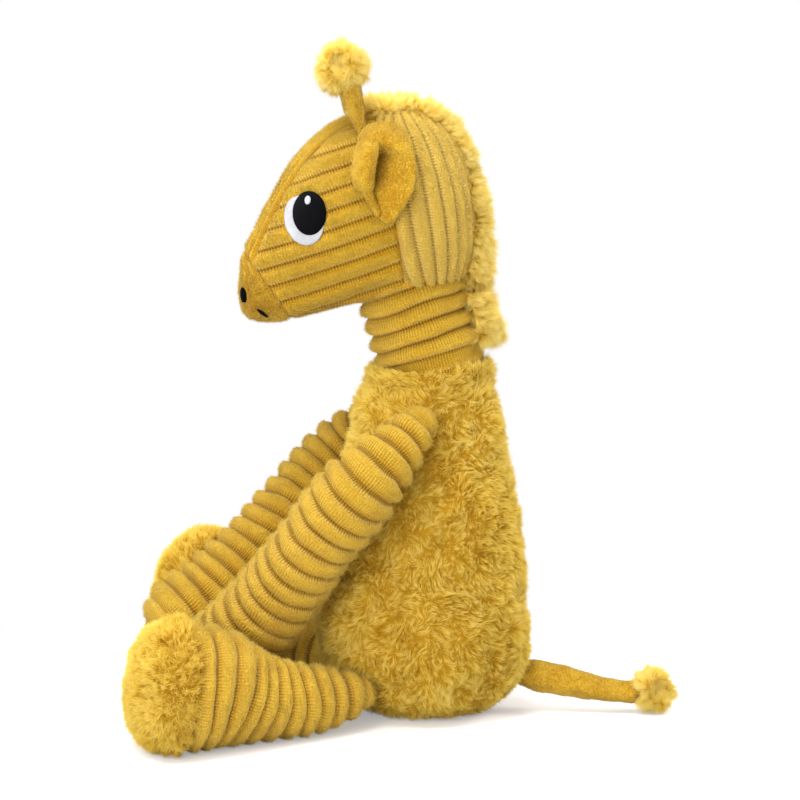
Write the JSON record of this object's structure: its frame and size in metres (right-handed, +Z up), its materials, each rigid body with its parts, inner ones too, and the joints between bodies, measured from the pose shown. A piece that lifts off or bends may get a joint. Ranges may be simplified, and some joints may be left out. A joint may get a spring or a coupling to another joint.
{
  "type": "plush giraffe",
  "caption": "Seated plush giraffe with ribbed head and limbs, a long-haired body and mane, pompom ossicones and embroidered eyes.",
  "frame": {"origin": "centre of the flat under the seat, on the surface the giraffe sits on", "axes": "+Z up, the giraffe faces -Y, its left side is +X"},
  "size_m": [0.231, 0.2719, 0.3362],
  "materials": {
    "ribbed_plush": "matte",
    "smooth_plush": "matte",
    "long_hair": "matte",
    "filling": "matte",
    "pellets": "matte",
    "black_thread": "satin",
    "white_thread": "satin"
  },
  "bodies": {
    "torso": {"body_cover": "long_hair", "seat_panel": "long_hair", "body_stuffing": "filling", "pellet_bag": "pellets"},
    "neck": {"neck_cover": "ribbed_plush", "neck_stuffing": "filling", "neck_mane": "long_hair"},
    "head": {"face_panel_left": "ribbed_plush", "face_panel_right": "ribbed_plush", "back_panel_left": "ribbed_plush", "back_panel_right": "ribbed_plush", "forehead_panel": "ribbed_plush", "chin_panel": "smooth_plush", "muzzle_panel": "smooth_plush", "head_stuffing": "filling", "head_mane": "long_hair", "eye_pupil_left": "black_thread", "eye_pupil_right": "black_thread", "eye_white_left": "white_thread", "eye_white_right": "white_thread", "eye_glint_left": "white_thread", "eye_glint_right": "white_thread", "nostril_left": "black_thread", "nostril_right": "black_thread", "mouth_stitch_left": "black_thread", "mouth_stitch_right": "black_thread"},
    "ear_left": {"ear_left": "smooth_plush"},
    "ear_right": {"ear_right": "smooth_plush"},
    "ossicone_left": {"ossicone_left": "smooth_plush", "ossicone_tuft_left": "long_hair"},
    "ossicone_right": {"ossicone_right": "smooth_plush", "ossicone_tuft_right": "long_hair"},
    "arm_left": {"arm_cover_left": "ribbed_plush", "arm_stuffing_left": "filling"},
    "arm_right": {"arm_cover_right": "ribbed_plush", "arm_stuffing_right": "filling"},
    "leg_left": {"leg_cover_left": "ribbed_plush", "leg_stuffing_left": "filling", "foot_sole_left": "long_hair"},
    "leg_right": {"leg_cover_right": "ribbed_plush", "leg_stuffing_right": "filling", "foot_sole_right": "long_hair"},
    "tail": {"tail_stalk": "smooth_plush", "tail_tuft": "long_hair"}
  },
  "joints": [
    {"name": "neck_nod", "type": "hinge", "parent": "torso", "child": "neck", "pos_m": [0, 0.0033, 0.181], "axis": [1, 0, 0], "range_deg": [-12, 12]},
    {"name": "head_turn", "type": "hinge", "parent": "neck", "child": "head", "pos_m": [0, -0.00796, 0.22302], "axis": [0, -0.2588, 0.9659], "range_deg": [-30, 30]},
    {"name": "shoulder_left", "type": "hinge", "parent": "torso", "child": "arm_left", "pos_m": [0.04626, -0.00591, 0.15], "axis": [-0.9298, -0.1231, 0.347], "range_deg": [0, 78]},
    {"name": "shoulder_right", "type": "hinge", "parent": "torso", "child": "arm_right", "pos_m": [-0.04626, -0.00591, 0.15], "axis": [-0.9298, 0.1231, -0.347], "range_deg": [0, 70]},
    {"name": "hip_left", "type": "hinge", "parent": "torso", "child": "leg_left", "pos_m": [0.04294, -0.0367, 0.0175], "axis": [-0.9201, -0.3917, 0], "range_deg": [-75, 5]},
    {"name": "hip_right", "type": "hinge", "parent": "torso", "child": "leg_right", "pos_m": [-0.04294, -0.0367, 0.0175], "axis": [-0.8741, 0.4857, 0], "range_deg": [-80, 0]},
    {"name": "tail_swing", "type": "hinge", "parent": "torso", "child": "tail", "pos_m": [0.00231, 0.05807, 0.017], "axis": [0, 0, 1], "range_deg": [-35, 35]},
    {"name": "ear_left_lift", "type": "hinge", "parent": "head", "child": "ear_left", "pos_m": [0.02976, -0.01943, 0.29182], "axis": [0, -1, 0], "range_deg": [0, 35]},
    {"name": "ear_right_lift", "type": "hinge", "parent": "head", "child": "ear_right", "pos_m": [-0.02976, -0.01943, 0.29182], "axis": [0, 1, 0], "range_deg": [0, 35]},
    {"name": "ossicone_left_bend", "type": "hinge", "parent": "head", "child": "ossicone_left", "pos_m": [0.03161, -0.03212, 0.29115], "axis": [1, 0, 0], "range_deg": [-15, 15], "stiffness_Nm_per_rad": 0.01},
    {"name": "ossicone_right_bend", "type": "hinge", "parent": "head", "child": "ossicone_right", "pos_m": [-0.03161, -0.03212, 0.29115], "axis": [1, 0, 0], "range_deg": [-15, 15], "stiffness_Nm_per_rad": 0.01}
  ]
}
